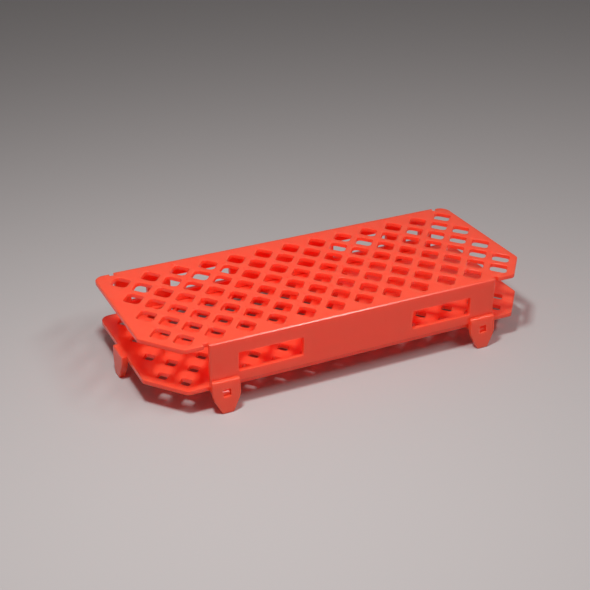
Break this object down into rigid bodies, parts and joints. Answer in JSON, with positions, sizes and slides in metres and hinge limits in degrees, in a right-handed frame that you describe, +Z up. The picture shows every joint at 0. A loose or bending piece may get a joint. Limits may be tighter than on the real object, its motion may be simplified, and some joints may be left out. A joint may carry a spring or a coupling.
{
  "type": "microcentrifuge tube rack",
  "caption": "Low two-tier rack for small lab tubes: a deck of staggered diamond wells with windowed long walls, locked onto a perforated tray with tapered feet.",
  "frame": {"origin": "centre of the bounding box at the plane the feet stand on", "axes": "+X along the rack's length, +Y towards the long side with the round corners (the rear), +Z up"},
  "size_m": [0.2736, 0.1246, 0.0466],
  "materials": {
    "deck_plastic": "injection-moulded polypropylene, semi-gloss red-orange",
    "tray_plastic": "injection-moulded polypropylene, semi-gloss red-orange"
  },
  "bodies": {
    "root": {"top_deck": "deck_plastic", "base_tray": "tray_plastic"}
  },
  "joints": []
}
